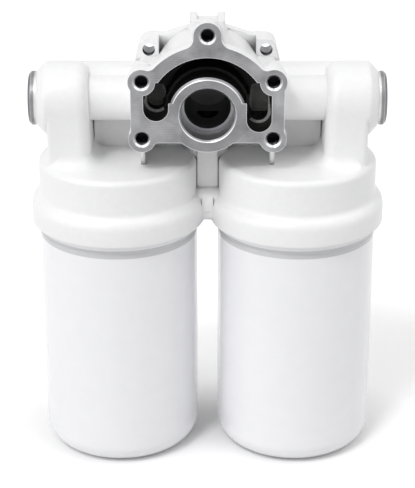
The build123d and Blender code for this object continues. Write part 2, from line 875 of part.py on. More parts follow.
def rear_plate():
    """Mounting plate at the back with four long lugs and thick sides."""
    edges = []
    for x, z in rear_bolt_places():
        edges.append((Pos(x, z) * Circle(rear_lug_radius)).edge())
        side_x = x / abs(x) * (shoulder_half_width - rear_side_radius)
        edges.append((Pos(side_x, z / abs(z) * rear_side_rise) * Circle(rear_side_radius)).edge())
    outline = make_hull(edges)
    lug_top = rear_bolt_spacing_z / 2 + rear_lug_radius
    slope = (rear_crown_foot - rear_crown_half_width) / (rear_crown_rise - lug_top)
    sunk_foot = rear_crown_foot + slope * rear_lug_radius / 2
    crown = make_face(
        Polyline(
            (-sunk_foot, 0),
            (sunk_foot, 0),
            (sunk_foot, lug_top - rear_lug_radius / 2),
            (rear_crown_half_width, rear_crown_rise),
            (-rear_crown_half_width, rear_crown_rise),
            (-sunk_foot, lug_top - rear_lug_radius / 2),
            close=True,
        )
    )
    plate = from_front(outline + crown, rear_face - rear_plate_thickness, rear_plate_thickness)
    middle = Rectangle(rear_bolt_spacing_x - 2 * rear_lug_radius, 4 * rear_bolt_spacing_z)
    sides = from_front(outline - middle, rear_face - rear_lug_length, rear_lug_length)
    return Pos(0, 0, bore_height) * (plate + sides)


def outlet_passage(side, radius):
    """Sloping passage, or its wall, from a cap's centre to the middle of the head."""
    return rod_between(
        radius, (side * can_axis, 0, spigot_top), (0, junction_y, spigot_top + outlet_rise)
    )


def tapped_hole(x, z):
    """Blind bolt hole in the flange's face with a countersunk mouth."""
    hole = rod_y(bolt_hole_radius, flange_face - embed, flange_face + bolt_hole_depth, x, z)
    return hole + countersink(bolt_hole_radius, bolt_hole_chamfer, x, z)


def countersink(radius, wall, x, z):
    """Chamfer at the mouth of a hole in the flange's face."""
    mouth = Cone(radius + wall, radius, wall)
    return Pos(x, flange_face + wall / 2, z) * Rot(-90, 0, 0) * mouth


def port_cuts():
    """The outlet bore, the inlet chamber and the bolt holes of both faces."""
    cuts = rod_y(bore_radius, flange_face - embed, flange_face + bore_step_depth, 0, bore_height)
    cuts += rod_y(bore_step_radius, flange_face, flange_face + bore_depth, 0, bore_height)
    cuts += countersink(bore_radius, bore_chamfer, 0, bore_height)
    cuts += Pos(0, 0, bore_height) * chamber()
    for x, z in bolt_places():
        cuts += tapped_hole(x, bore_height + z)
    cuts += tapped_hole(0, bore_height + top_bolt_rise)
    for x, z in rear_bolt_places():
        front = rear_face - rear_lug_length - rear_lug_radius
        cuts += rod_y(bolt_hole_radius, front, rear_face + embed, x, bore_height + z)
    return cuts


def side_cuts(side):
    """Plug bore, cross passage and spigot bore of one side."""
    thread_end = boss_end - plug_thread_length - plug_head_height
    lobe_middle = lobe_offset - lobe_radius / 2
    mouth = boss_end + embed
    cuts = rod_x(plug_thread_radius + curved_gap, side * mouth, side * thread_end, 0, bore_height)
    cuts += rod_x(inlet_passage_radius, side * boss_end, side * lobe_middle, 0, bore_height)
    cuts += rod_z(spigot_radius + curved_gap, centre_hub_bottom - embed, spigot_top, side * can_axis, 0)
    cuts += outlet_passage(side, outlet_passage_radius)
    return cuts


def filter_head():
    """The whole casting with its bores."""
    foot = stand_foot()
    boss = end_boss()
    head = bridge() + rear_plate() + neck() + top_lug() + galleries() + flange() + flange_legs()
    for side in (-1, 1):
        head += place(cap_solid(), side * can_axis)
        head += boss if side > 0 else mirror(boss, about=Plane.YZ)
        head += foot if side > 0 else mirror(foot, about=Plane.YZ)
        corner_x = side * stand_inner
        head += corner_fillet(
            wall_flare, corner_x, back_wall_front, -side, -1, cap_top - embed, bore_height
        )
        head -= place(cap_hollow(), side * can_axis)
        head += outlet_passage(side, outlet_passage_radius + outlet_passage_wall)
    shaft = rod_z(outlet_passage_radius, spigot_top + outlet_rise, bore_height, 0, junction_y)
    return head - port_cuts() - side_cuts(-1) - side_cuts(1) - shaft


def end_plug(side):
    """Hexagon-socket screw plug with a flat collar."""
    seat = boss_end + seal_wall
    thread = rod_x(plug_thread_radius, seat - plug_thread_length, seat, 0, 0)
    collar = rod_x(plug_head_radius, seat, seat + plug_head_height, 0, 0)
    collar = chamfer(collar.edges().sort_by(Axis.X)[-1], plug_chamfer)
    hexagon = RegularPolygon(plug_socket_across / 2, 6, major_radius=False)
    socket = extrude(Plane.YZ.offset(seat + plug_head_height) * hexagon, amount=-plug_socket_depth)
    plug = thread + collar - socket
    plug = Pos(0, 0, bore_height) * plug
    return plug if side > 0 else mirror(plug, about=Plane.YZ)


def plug_seal(side):
    """Flat metal washer under the plug's collar."""
    top = boss_end + seal_wall
    washer = rod_x(plug_head_radius - seal_inset, boss_end, top, 0, bore_height)
    washer -= rod_x(plug_thread_radius + curved_gap, boss_end - embed, top + embed, 0, bore_height)
    return washer if side > 0 else mirror(washer, about=Plane.YZ)


# The whole filter


def write(shape, name):
    export_step(shape, "parts/" + name + ".step")


write(filter_head(), "filter_head")
for side_name, side in left_and_right:
    x = side * can_axis
    write(end_plug(side), side_name + "_end_plug")
    write(plug_seal(side), side_name + "_plug_seal")
    write(place(spigot(), x), side_name + "_spigot")
    write(place(can_shell(), x), side_name + "_can_shell")
    write(place(can_lid(), x), side_name + "_can_lid")
    write(place(base_plate(), x), side_name + "_base_plate")
    write(place(gasket(), x), side_name + "_can_gasket")
    write(place(drain_valve(), x), side_name + "_drain_valve")
    write(place(element_top_cap(), x), side_name + "_element_top_cap")
    write(place(element_media(), x), side_name + "_element_media")
    write(place(centre_tube(), x), side_name + "_centre_tube")
    write(place(element_bottom_cap(), x), side_name + "_element_bottom_cap")
    write(place(bypass_cage(), x), side_name + "_bypass_cage")
    write(place(bypass_poppet(), x), side_name + "_bypass_poppet")
    write(place(bypass_spring(), x), side_name + "_bypass_spring")
    write(place(support_spring(), x), side_name + "_support_spring")
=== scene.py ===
# %% [markdown]
# Twin oil filter: one white cast head carries two white screw-on cans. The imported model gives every
# piece its place and size, so this lesson adds the surfaces and finishes: enamelled cans, a coated
# casting with bare machined faces, bright plugs, and a bright studio.

import bpy
import numpy as np
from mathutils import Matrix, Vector


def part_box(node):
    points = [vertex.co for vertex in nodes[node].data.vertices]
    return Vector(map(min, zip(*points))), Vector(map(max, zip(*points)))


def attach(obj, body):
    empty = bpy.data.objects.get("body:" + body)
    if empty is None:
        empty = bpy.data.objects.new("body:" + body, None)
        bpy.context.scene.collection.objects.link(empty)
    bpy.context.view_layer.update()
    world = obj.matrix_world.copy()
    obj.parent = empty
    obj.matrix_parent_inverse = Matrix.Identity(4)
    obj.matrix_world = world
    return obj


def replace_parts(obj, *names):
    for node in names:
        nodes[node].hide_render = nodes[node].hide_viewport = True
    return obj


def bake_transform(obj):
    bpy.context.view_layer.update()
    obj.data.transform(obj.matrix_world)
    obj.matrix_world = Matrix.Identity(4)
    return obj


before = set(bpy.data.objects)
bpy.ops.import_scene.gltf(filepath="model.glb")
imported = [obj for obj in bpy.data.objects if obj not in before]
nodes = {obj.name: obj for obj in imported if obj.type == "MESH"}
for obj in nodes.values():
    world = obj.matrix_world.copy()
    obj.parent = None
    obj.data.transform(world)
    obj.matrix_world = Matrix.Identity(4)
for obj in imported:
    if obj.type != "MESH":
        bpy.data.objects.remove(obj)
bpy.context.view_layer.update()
SIDES = ("left", "right")
print("nodes loaded:", len(nodes))

# %% [markdown]
# Four small helpers come first. Colours are written as sRGB hex codes, the way a paint chart gives
# them, and turned to the linear values that Blender mixes light in. Nodes could be set up by hand,
# line by line, but a helper that adds one with its settings and links keeps the shader cells short.
# Patterns are measured in millimetres on the object itself, so that they stay put when a piece
# moves.

# %% Helpers for colours and shader nodes
MM = 0.001
# A Mix node has a set of sockets for each kind of data, and they are told apart by number.
MIX_SHARE, COLOUR_A, COLOUR_B, COLOUR_OUT = 0, 6, 7, 2
VALUE_A, VALUE_B, VALUE_OUT = 2, 3, 0


def linear(code):
    """sRGB hex code to linear RGBA: the usual curve, (c + 0.055) / 1.055 to the power 2.4."""
    srgb = np.array([int(code[i : i + 2], 16) / 255 for i in (1, 3, 5)])
    low = srgb / 12.92
    high = ((srgb + 0.055) / 1.055) ** 2.4
    return (*np.where(srgb <= 0.04045, low, high), 1.0)


def add_node(tree, kind, inputs=None, **settings):
    """One shader node: settings are its properties, inputs are values or sockets to link."""
    node = tree.nodes.new(kind)
    for name, value in settings.items():
        setattr(node, name, value)
    for name, value in (inputs or {}).items():
        socket = node.inputs[name]
        if isinstance(value, bpy.types.NodeSocket):
            tree.links.new(value, socket)
        else:
            socket.default_value = value
    return node


def new_material(name):
    """An empty material with its Principled shader; returns material, tree and shader."""
    material = bpy.data.materials.new(name)
    material.use_nodes = True
    tree = material.node_tree
    return material, tree, tree.nodes["Principled BSDF"]


def place_in_mm(tree):
    """Object coordinates in millimetres, so that pattern sizes below read as real sizes."""
    where = add_node(tree, "ShaderNodeTexCoord").outputs["Object"]
    per_mm = (1 / MM, 1 / MM, 1 / MM)
    scaled = add_node(tree, "ShaderNodeVectorMath", {0: where, 1: per_mm}, operation="MULTIPLY")
    return scaled.outputs["Vector"]


print("white as linear light:", linear("#ffffff"))

# %% [markdown]
# The cans are deep-drawn steel cups, so they are surfaces of revolution. A profile in radius and
# height is swept round the can's axis: x = r cos(turn), y = r sin(turn). Modelling a cylinder and
# bending its edges would work too, but the profile keeps the true corner radii and shades without
# facets.

# %% A profile with rounded corners
ARC_STEPS = 12


def rounded_profile(corners):
    """Polyline through (radius, height, round) corners in mm. Each corner is replaced by points on
    the circle of that radius that touches both sides, swept evenly by angle."""
    points = np.array([corner[:2] for corner in corners], float)
    pieces = [points[:1]]
    blend = np.linspace(0, 1, ARC_STEPS)[:, None]
    for before, corner, after, (_, _, size) in zip(points, points[1:], points[2:], corners[1:-1]):
        if size == 0:
            pieces.append(corner[None])
            continue
        into = (before - corner) / np.linalg.norm(before - corner)
        out = (after - corner) / np.linalg.norm(after - corner)
        half = np.arccos(np.clip(into @ out, -1, 1)) / 2
        reach = size / np.tan(half)
        middle = corner + (into + out) / np.linalg.norm(into + out) * size / np.sin(half)
        start, end = corner + into * reach - middle, corner + out * reach - middle
        sweep = np.pi - 2 * half
        arc = (np.sin((1 - blend) * sweep) * start + np.sin(blend * sweep) * end) / np.sin(sweep)
        pieces.append(middle + arc)
    pieces.append(points[-1:])
    return np.concatenate(pieces)


# %% Sweep a profile round an axis
SEGMENTS = 180


def mesh_object(name, vertices, faces, body):
    """A smooth mesh object from arrays in mm, riding on its body."""
    mesh = bpy.data.meshes.new(name)
    mesh.from_pydata((vertices * MM).tolist(), [], faces)
    mesh.update()
    mesh.shade_smooth()
    piece = bpy.data.objects.new(name, mesh)
    bpy.context.scene.collection.objects.link(piece)
    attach(piece, body)
    return piece


def grid_faces(rows, columns, close_rows):
    """Quads between neighbouring rows; columns always close on themselves."""
    row = np.arange(rows if close_rows else rows - 1)[:, None]
    column = np.arange(columns)[None]
    beside, above = (column + 1) % columns, (row + 1) % rows
    near, far = row * columns, above * columns
    return np.stack([near + column, near + beside, far + beside, far + column], -1).reshape(-1, 4)


def turned_piece(name, corners, centre_x, body, closed=False):
    """Surface of revolution: the profile's points at SEGMENTS angles. An open profile starts and
    ends on the axis, where one vertex closes it with a fan."""
    profile = rounded_profile(corners)
    if closed:
        profile = profile[:-1]
    ring = profile if closed else profile[1:-1]
    turn = np.linspace(0, 2 * np.pi, SEGMENTS, endpoint=False)
    x = centre_x + ring[:, :1] * np.cos(turn)
    y = ring[:, :1] * np.sin(turn)
    z = np.broadcast_to(ring[:, 1:], x.shape)
    vertices = np.stack([x, y, z], -1).reshape(-1, 3)
    faces = grid_faces(len(ring), SEGMENTS, closed).tolist()
    if not closed:
        poles = [[centre_x, 0, profile[0, 1]], [centre_x, 0, profile[-1, 1]]]
        vertices = np.concatenate([vertices, poles])
        around = np.arange(SEGMENTS)
        beside = (around + 1) % SEGMENTS
        last = (len(ring) - 1) * SEGMENTS
        first_pole = np.full(SEGMENTS, len(ring) * SEGMENTS)
        faces += np.stack([first_pole, beside, around], -1).tolist()
        faces += np.stack([first_pole + 1, last + around, last + beside], -1).tolist()
    return mesh_object(name, vertices, faces, body)


def point_outwards(piece):
    """Turns every face of a closed mesh outwards, by the sign of the volume that it encloses."""
    mesh = piece.data
    mesh.calc_loop_triangles()
    corners = np.zeros(len(mesh.loop_triangles) * 3, int)
    mesh.loop_triangles.foreach_get("vertices", corners)
    places = np.zeros(len(mesh.vertices) * 3)
    mesh.vertices.foreach_get("co", places)
    a, b, c = places.reshape(-1, 3)[corners.reshape(-1, 3)].transpose(1, 0, 2)
    if np.einsum("ij,ij->", a, np.cross(b, c)) < 0:
        mesh.flip_normals()
    return piece


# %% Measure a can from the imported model
def size_of(node):
    """Lowest and highest corner of a node in mm."""
    low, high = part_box(node)
    return np.array(low) / MM, np.array(high) / MM


shell_low, shell_high = size_of("right_can_shell")
CAN_AXIS = (shell_low[0] + shell_high[0]) / 2
CAN_RADIUS = (shell_high[0] - shell_low[0]) / 2
CAN_TOP = shell_high[2]
lid_low, lid_high = size_of("right_can_lid")
LID_RADIUS = (lid_high[0] - lid_low[0]) / 2
print("can axis", CAN_AXIS, "radius", CAN_RADIUS, "lid radius", LID_RADIUS)

# %% The two can shells
CAN_WALL = 1.0
CAN_ROUND = 15.0
FOOT_RADIUS = 30.0
FOOT_ROUND = 1.5
DISH = 2.5  # how far the middle of the bottom is pressed up
LINE_BELOW_LID = 2.2
LINE = lid_low[2] - LINE_BELOW_LID  # height of the line rolled round the can under the seam
LINE_DEEP = 0.35
LINE_HALF = 1.2
LINE_FLAT = 0.6  # half of its flat ground
LINE_ROUNDS = (0.6, 0.5)
RIM_ROUND = 0.2

shell_outside = [
    (0, DISH, 0),
    (FOOT_RADIUS - DISH, DISH, FOOT_ROUND),
    (FOOT_RADIUS, 0, FOOT_ROUND),
    (CAN_RADIUS, 0, CAN_ROUND),
    (CAN_RADIUS, LINE - LINE_HALF, LINE_ROUNDS[0]),
    (CAN_RADIUS - LINE_DEEP, LINE - LINE_FLAT, LINE_ROUNDS[1]),
    (CAN_RADIUS - LINE_DEEP, LINE + LINE_FLAT, LINE_ROUNDS[1]),
    (CAN_RADIUS, LINE + LINE_HALF, LINE_ROUNDS[0]),
    (CAN_RADIUS, CAN_TOP, RIM_ROUND),
]
shell_inside = [
    (CAN_RADIUS - CAN_WALL, CAN_TOP, RIM_ROUND),
    (CAN_RADIUS - CAN_WALL, CAN_WALL, CAN_ROUND - CAN_WALL),
    (FOOT_RADIUS + CAN_WALL, CAN_WALL, FOOT_ROUND),
    (FOOT_RADIUS - DISH + CAN_WALL, DISH + CAN_WALL, FOOT_ROUND),
    (0, DISH + CAN_WALL, 0),
]
shell_profile = shell_outside + shell_inside
shells = []
for side, x in zip(SIDES, (-CAN_AXIS, CAN_AXIS)):
    shell = turned_piece(side + "_enamelled_shell", shell_profile, x, side + "_can")
    point_outwards(shell)
    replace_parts(shell, side + "_can_shell")
    shells.append(shell)
print("shells:", [len(shell.data.polygons) for shell in shells], "faces")

# %% [markdown]
# The lid is a pressed steel ring whose skirt is rolled round the can. Its skirt is the thin band
# under the casting's collar, so it gets a rolled lower lip. The profile is a closed loop, which
# makes a ring.

# %% The two seamed lids
LID_WALL = 0.9
SKIRT_GAP = 0.1
SKIRT_IN = CAN_RADIUS + SKIRT_GAP
SKIRT_ROUND, LID_ROUND = 0.4, 0.9
LID_HOLE = 39.5
GASKET_IN, GASKET_OUT = 42.0, 49.0
RIB, RIB_RISE, RIB_GAP = 0.8, 2.0, 0.3  # the two ribs that hold the gasket
SHEET_ROUND = 0.3
lid_top = CAN_TOP + LID_WALL
rib_top = lid_top + RIB_RISE
groove_out, groove_in = GASKET_OUT + RIB_GAP, GASKET_IN - RIB_GAP
lid_loop = [
    (LID_HOLE, CAN_TOP, 0),
    (SKIRT_IN, CAN_TOP, RIM_ROUND),
    (SKIRT_IN, lid_low[2], SHEET_ROUND),
    (LID_RADIUS, lid_low[2], SKIRT_ROUND),
    (LID_RADIUS, lid_top, LID_ROUND),
    (groove_out + RIB, lid_top, SHEET_ROUND),
    (groove_out + RIB, rib_top, SHEET_ROUND),
    (groove_out, rib_top, SHEET_ROUND),
    (groove_out, lid_top, RIM_ROUND),
    (groove_in, lid_top, RIM_ROUND),
    (groove_in, rib_top, SHEET_ROUND),
    (groove_in - RIB, rib_top, SHEET_ROUND),
    (groove_in - RIB, lid_top, SHEET_ROUND),
    (LID_HOLE, lid_top, SHEET_ROUND),
    (LID_HOLE, CAN_TOP, 0),
]
lids = []
for side, x in zip(SIDES, (-CAN_AXIS, CAN_AXIS)):
    lid = turned_piece(side + "_seamed_lid", lid_loop, x, side + "_can", closed=True)
    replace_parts(point_outwards(lid), side + "_can_lid")
    lids.append(lid)
print("lids:", [len(lid.data.polygons) for lid in lids], "faces")

# %% [markdown]
# The gasket is a moulded rubber ring between the lid's ribs, with softly rounded upper corners
# where it meets the casting. A bevelled tube would do, but the same closed profile as the lid's is
# shorter. It is hidden until its can is screwed off.

# %% The two gaskets
SEAT_ROUND, SEAL_ROUND = 0.6, 1.2

gasket_low, gasket_high = size_of("right_can_gasket")
gasket_loop = [
    (GASKET_IN, gasket_low[2], 0),
    (GASKET_OUT, gasket_low[2], SEAT_ROUND),
    (GASKET_OUT, gasket_high[2], SEAL_ROUND),
    (GASKET_IN, gasket_high[2], SEAL_ROUND),
    (GASKET_IN, gasket_low[2], 0),
]
gaskets = []
for side, x in zip(SIDES, (-CAN_AXIS, CAN_AXIS)):
    name, body = side + "_moulded_gasket", side + "_gasket"
    gasket = turned_piece(name, gasket_loop, x, body, closed=True)
    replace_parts(point_outwards(gasket), side + "_can_gasket")
    gaskets.append(gasket)
print("gaskets:", len(gaskets))

# %% [markdown]
# The head is a sand casting with a few machined faces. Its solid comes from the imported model, whose
# mesh is loose triangles, so the lesson works on a copy: the corners are merged, faces are shaded
# smooth up to a sharp angle, and each face is given a finish by where it lies.

# %% A merged copy of the casting
import bmesh

SHARP_ANGLE = np.radians(32)
WELD_MM = 0.002


def merged_copy(node, name):
    """A copy of a node with its loose triangles joined, smooth except across sharp edges."""
    mesh = nodes[node].data.copy()
    work = bmesh.new()
    work.from_mesh(mesh)
    bmesh.ops.remove_doubles(work, verts=work.verts, dist=WELD_MM * MM)
    work.to_mesh(mesh)
    work.free()
    if mesh.has_custom_normals:
        mesh.attributes.remove(mesh.attributes["custom_normal"])
    mesh.materials.clear()
    mesh.shade_smooth()
    mesh.set_sharp_from_angle(angle=SHARP_ANGLE)
    piece = bpy.data.objects.new(name, mesh)
    bpy.context.scene.collection.objects.link(piece)
    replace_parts(piece, node)
    return piece


head = merged_copy("filter_head", "cast_head")
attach(head, "head")
print("head:", len(head.data.polygons), "faces")

# %% [markdown]
# Which face gets which finish follows from how the part is machined. The flange and the rear face
# are milled flat, the land round the bore is faced on a lathe, countersinks and the bore are
# turned, the chamber and oil ways stay as cast, and all the rest is coated. Some faces get the cast
# skin as painted light and shade: a dark one as painted shade in the chamber, the oil ways, the
# shaft, the ends of the bolt holes and under the flange, and a pale one as painted light where faces
# by the lobes and in the passages look forward. Faces could be picked by hand, but here their
# centres are compared with those shapes as whole arrays, so the choice can be read and repeated.

# %% Face centres in mm
# SHADED_CAST is the cast skin in painted shade, LIT_CAST the same skin in painted light
COATED, MILLED, FACED, SUNK, BORED, SHADED_CAST, LIT_CAST = range(7)
BORE_HEIGHT = 253.0
FACE_Y = -36.0
REAR_Y = 50.0


def face_centres(mesh):
    """Centre of every face in mm."""
    centres = np.zeros(len(mesh.polygons) * 3)
    mesh.polygons.foreach_get("center", centres)
    return centres.reshape(-1, 3) / MM


def around_y(points, x, z):
    """Distance of each point from the line along Y through (x, z)."""
    return np.hypot(points[:, 0] - x, points[:, 2] - z)


def between(values, limits):
    """True where a value lies inside the two limits."""
    return (values > limits[0]) & (values < limits[1])


centre = face_centres(head.data)
across, depth, height = centre.T
from_bore = around_y(centre, 0, BORE_HEIGHT)
normals = np.zeros(len(centre) * 3)
head.data.polygons.foreach_get("normal", normals)
facing_front, facing_down = -normals[1::3], -normals[2::3]
print("centres:", len(centre))

# %% Where the machined and the bare faces lie, in mm
SLACK = 0.15  # a facet's centre lies a little off the round wall that it stands for
FLAT = 0.02
BORE_REACH, BORE_END = 19.1, 31.0
LAND_REACH, LAND_DEEP = 25.7, 2.2
CHAMBER_REACH = 39.5
CHAMBER_FLOOR = 240.5
CHAMBER_BACK = 0.5
LOBE_INNER, LOBE_REACH = 28.5, 42.3
LOBE_TOP = 272.0
LOBE_LIT = (CHAMBER_FLOOR - 2, 260.0)
LEDGE_STARTS = -20.0
PASSAGE_REACH, PASSAGE_STARTS = 10.5, 29.0
SHAFT_DEPTH = 10.0
SHAFT_REACH = 7.7
SHAFT_HEIGHTS = (190.0, BORE_HEIGHT - 12)
UNDER_FLANGE_REACH = 34.0
UNDER_FLANGE_HEIGHTS = (226.0, 238.0)
UNDER_FLANGE_DEPTHS = (-35.9, -12.0)
FLANGE_FROM = 220.0
REAR_PLATE_FROM = 200.0
CAP_SEAL_REACH = 49.5
CAP_SEAL_HEIGHTS = (171.5, 176.0)
A_LITTLE, MOSTLY = 0.2, 0.5  # how much of a face's normal points one way

# %% Sort the bare and the turned faces
finish = np.full(len(centre), COATED)
# painted shade: the chamber and the oil ways get the dark cast skin
in_crown = (from_bore < CHAMBER_REACH) & (height > CHAMBER_FLOOR)
in_lobe = (abs(across) < LOBE_REACH) & between(height, (CHAMBER_FLOOR, LOBE_TOP))
finish[(in_crown | in_lobe) & (depth < CHAMBER_BACK)] = SHADED_CAST
from_passage = np.hypot(depth, height - BORE_HEIGHT)
in_passage = (from_passage < PASSAGE_REACH) & (abs(across) > PASSAGE_STARTS)
finish[in_passage] = SHADED_CAST
# painted light: faces by the lobes and in the passages that look forward get the pale skin
by_lobe = between(abs(across), (LOBE_INNER, LOBE_REACH)) & between(height, LOBE_LIT)
lit = facing_front > A_LITTLE
finish[by_lobe & (depth > LEDGE_STARTS) & lit] = LIT_CAST
finish[in_passage & lit] = LIT_CAST
# painted shade under the flange, on faces that look down
under_flange = (abs(across) < UNDER_FLANGE_REACH) & between(height, UNDER_FLANGE_HEIGHTS)
under_flange &= between(depth, UNDER_FLANGE_DEPTHS)
finish[under_flange & (facing_down > MOSTLY)] = SHADED_CAST
finish[(from_bore < LAND_REACH) & (depth < FACE_Y + LAND_DEEP)] = BORED
finish[(from_bore < BORE_REACH) & (depth < BORE_END)] = BORED
# painted shade on the shaft seen through the bore
in_shaft = np.hypot(across, depth - SHAFT_DEPTH) < SHAFT_REACH
finish[in_shaft & between(height, SHAFT_HEIGHTS)] = SHADED_CAST
print("bare or turned:", (finish != COATED).sum())

# %% Sort the milled faces and the bolt holes
HOLE_RADIUS = 4.25
COUNTERSINK = 1.3
BOLT_DEPTH = 15.0
PAST_END, PAST_SINK = 0.5, 0.1  # how far past the hole's end and its countersink to look
REAR_HOLES_FROM = 20.0
BOLTS = [(x, BORE_HEIGHT + rise) for x in (-43.0, 43.0) for rise in (22.3, -16.7)]
BOLTS.append((0.0, BORE_HEIGHT + 53.4))
REAR_BOLTS = [(x, BORE_HEIGHT + rise) for x in (-40.0, 40.0) for rise in (-24.2, 24.2)]

in_face = (abs(depth - FACE_Y) < FLAT) & (height > FLANGE_FROM)
finish[in_face] = MILLED
finish[in_face & (from_bore < LAND_REACH)] = FACED
behind_face = depth > FACE_Y + FLAT
for x, z in BOLTS:
    from_hole = around_y(centre, x, z)
    in_end = from_hole < HOLE_RADIUS + SLACK
    in_end &= depth < FACE_Y + BOLT_DEPTH + PAST_END
    in_sink = from_hole < HOLE_RADIUS + COUNTERSINK + SLACK
    in_sink &= depth < FACE_Y + COUNTERSINK + PAST_SINK
    # painted shade at the ends of the bolt holes
    finish[in_end & behind_face] = SHADED_CAST
    finish[in_sink & behind_face] = SUNK
for x, z in REAR_BOLTS:
    finish[(around_y(centre, x, z) < HOLE_RADIUS + SLACK) & (depth > REAR_HOLES_FROM)] = SUNK
finish[(abs(depth - REAR_Y) < FLAT) & (height > REAR_PLATE_FROM)] = MILLED
under_caps = np.hypot(abs(across) - CAN_AXIS, depth) < CAP_SEAL_REACH
finish[under_caps & between(height, CAP_SEAL_HEIGHTS)] = MILLED
print("faces per finish:", np.bincount(finish, minlength=LIT_CAST + 1))

# %% [markdown]
# The bolt holes are tapped. The solid has them as plain bores, so their walls are taken off the
# copy and a threaded wall is put in. A thread can be made with a screw modifier, tooth by tooth.
# Here it is a height field on a cylinder, where the radius follows a triangle wave of distance
# along the hole minus turn, which gives the whole helix as one grid.

# %% Take the plain walls off the bolt holes
WALL_SPAN = (HOLE_RADIUS - 0.25, HOLE_RADIUS + 0.12)
ALONG_HOLE = 0.1  # a hole's walls run along it, so they face neither front nor back

bolt_spans = [(FACE_Y + COUNTERSINK, FACE_Y + BOLT_DEPTH)] * len(BOLTS)
rear_spans = [(REAR_HOLES_FROM, REAR_Y + COUNTERSINK)] * len(REAR_BOLTS)
hole_ends = []
plain_walls = np.zeros(len(centre), bool)
for (x, z), span in zip(BOLTS + REAR_BOLTS, bolt_spans + rear_spans):
    wall = between(around_y(centre, x, z), WALL_SPAN) & between(depth, span)
    wall &= abs(facing_front) < ALONG_HOLE
    plain_walls |= wall
    faces = [head.data.polygons[i] for i in np.flatnonzero(wall)]
    reached = [head.data.vertices[corner].co.y / MM for face in faces for corner in face.vertices]
    hole_ends.append((min(reached), max(reached)))
work = bmesh.new()
work.from_mesh(head.data)
work.faces.ensure_lookup_table()
taken_off = [work.faces[i] for i in np.flatnonzero(plain_walls)]
bmesh.ops.delete(work, geom=taken_off, context="FACES")
work.to_mesh(head.data)
work.free()
finish = finish[~plain_walls]
print("walls taken off:", plain_walls.sum(), "ends:", np.round(hole_ends, 1).tolist())

# %% Threaded walls
PITCH = 1.5
THREAD_DEPTH = 0.75
THREADED = 6.5  # how far in the teeth go: the lugs are thick enough for them only at the flange
ROWS_PER_PITCH = 8
THREAD_SEGMENTS = 48


def threaded_wall(x, z, start, end):
    """Rows of points round a line along Y: radius = hole + depth * triangle(along / pitch - turn),
    with the teeth fading over one pitch at both ends of the threaded length."""
    rows = int((end - start) / PITCH * ROWS_PER_PITCH)
    along = np.linspace(start, end, rows)[:, None]
    turn = np.linspace(0, 1, THREAD_SEGMENTS, endpoint=False)[None]
    tooth = 1 - abs(2 * ((along / PITCH - turn) % 1) - 1)
    run_out = np.clip(np.minimum(along - start, start + THREADED - along) / PITCH, 0, 1)
    radius = HOLE_RADIUS + THREAD_DEPTH * tooth * run_out
    angle = 2 * np.pi * turn
    y = np.broadcast_to(along, radius.shape)
    points = np.stack([x + radius * np.cos(angle), y, z + radius * np.sin(angle)], -1)
    return points.reshape(-1, 3), rows


wall_points, wall_faces, count = [], [], 0
for (x, z), (start, end) in zip(BOLTS + REAR_BOLTS, hole_ends):
    points, rows = threaded_wall(x, z, start, end)
    wall_points.append(points)
    wall_faces.append(grid_faces(rows, THREAD_SEGMENTS, False) + count)
    count += len(points)
wall_points, wall_faces = np.concatenate(wall_points), np.concatenate(wall_faces).tolist()
threads = mesh_object("tapped_threads", wall_points, wall_faces, "head")
print("threads:", len(threads.data.polygons), "faces")

# %% [markdown]
# The coat is a white powder coat, baked on the sand casting: nearly white, half gloss, with the
# faint orange peel of the powder over the soft grain of the sand. Corners of a casting are never
# sharp, so the shader rounds the shading across each edge by the radius of a casting fillet. A real
# bevel would need a clean mesh, and the Bevel node does it on any mesh. Where walls meet, the coat
# is greyer: painted shade in the corners, read from an ambient occlusion node, which makes the
# corners read.

# %% One pattern for colour, gloss and relief
def vary(tree, shader, pattern, colours, rough, relief_mm, under=None):
    """Lets a pattern from 0 to 1 drive the colour, the roughness and a relief of that depth in mm.
    Returns the bumped normal, which lies over another normal where one is given."""
    tones = {MIX_SHARE: pattern, COLOUR_A: linear(colours[0]), COLOUR_B: linear(colours[1])}
    tone = add_node(tree, "ShaderNodeMix", tones, data_type="RGBA")
    limits = {"Value": pattern, "To Min": rough[0], "To Max": rough[1]}
    gloss = add_node(tree, "ShaderNodeMapRange", limits)
    heights = {"Height": pattern, "Distance": relief_mm * MM, "Strength": 1.0}
    relief = add_node(tree, "ShaderNodeBump", heights)
    if under is not None:
        tree.links.new(under, relief.inputs["Normal"])
    tree.links.new(tone.outputs[COLOUR_OUT], shader.inputs["Base Color"])
    tree.links.new(gloss.outputs["Result"], shader.inputs["Roughness"])
    tree.links.new(relief.outputs["Normal"], shader.inputs["Normal"])
    return relief.outputs["Normal"]


# %% The powder coat
PEEL_MM = 1.3
SAND_MM = 4.0  # real sand leaves marks of about 0.5 mm, too fine to show in the picture
FILLET_MM = 2.0
CREVICE_MM = 14.0  # how near two walls come before painted shade greys the corner between them
SHADE_FULL_AIR, SHADE_FREE_AIR = 0.1, 0.45  # how much open air the two ends of that change have
PEEL_RELIEF_MM = 0.012

coat, tree, shader = new_material("white powder coat on sand casting")
place = place_in_mm(tree)
peel = add_node(tree, "ShaderNodeTexNoise", {"Vector": place, "Scale": 1 / PEEL_MM}).outputs["Fac"]
grain = {"Vector": place, "Scale": 1 / SAND_MM, "Detail": 3}
sand = add_node(tree, "ShaderNodeTexNoise", grain).outputs["Fac"]
fillet = {"Radius": FILLET_MM * MM}
rounded = add_node(tree, "ShaderNodeBevel", fillet, samples=6).outputs["Normal"]
sanded = vary(tree, shader, sand, ("#f2f2f3", "#f9f9f9"), (0.3, 0.42), 0.06, rounded)
white = shader.inputs["Base Color"].links[0].from_socket
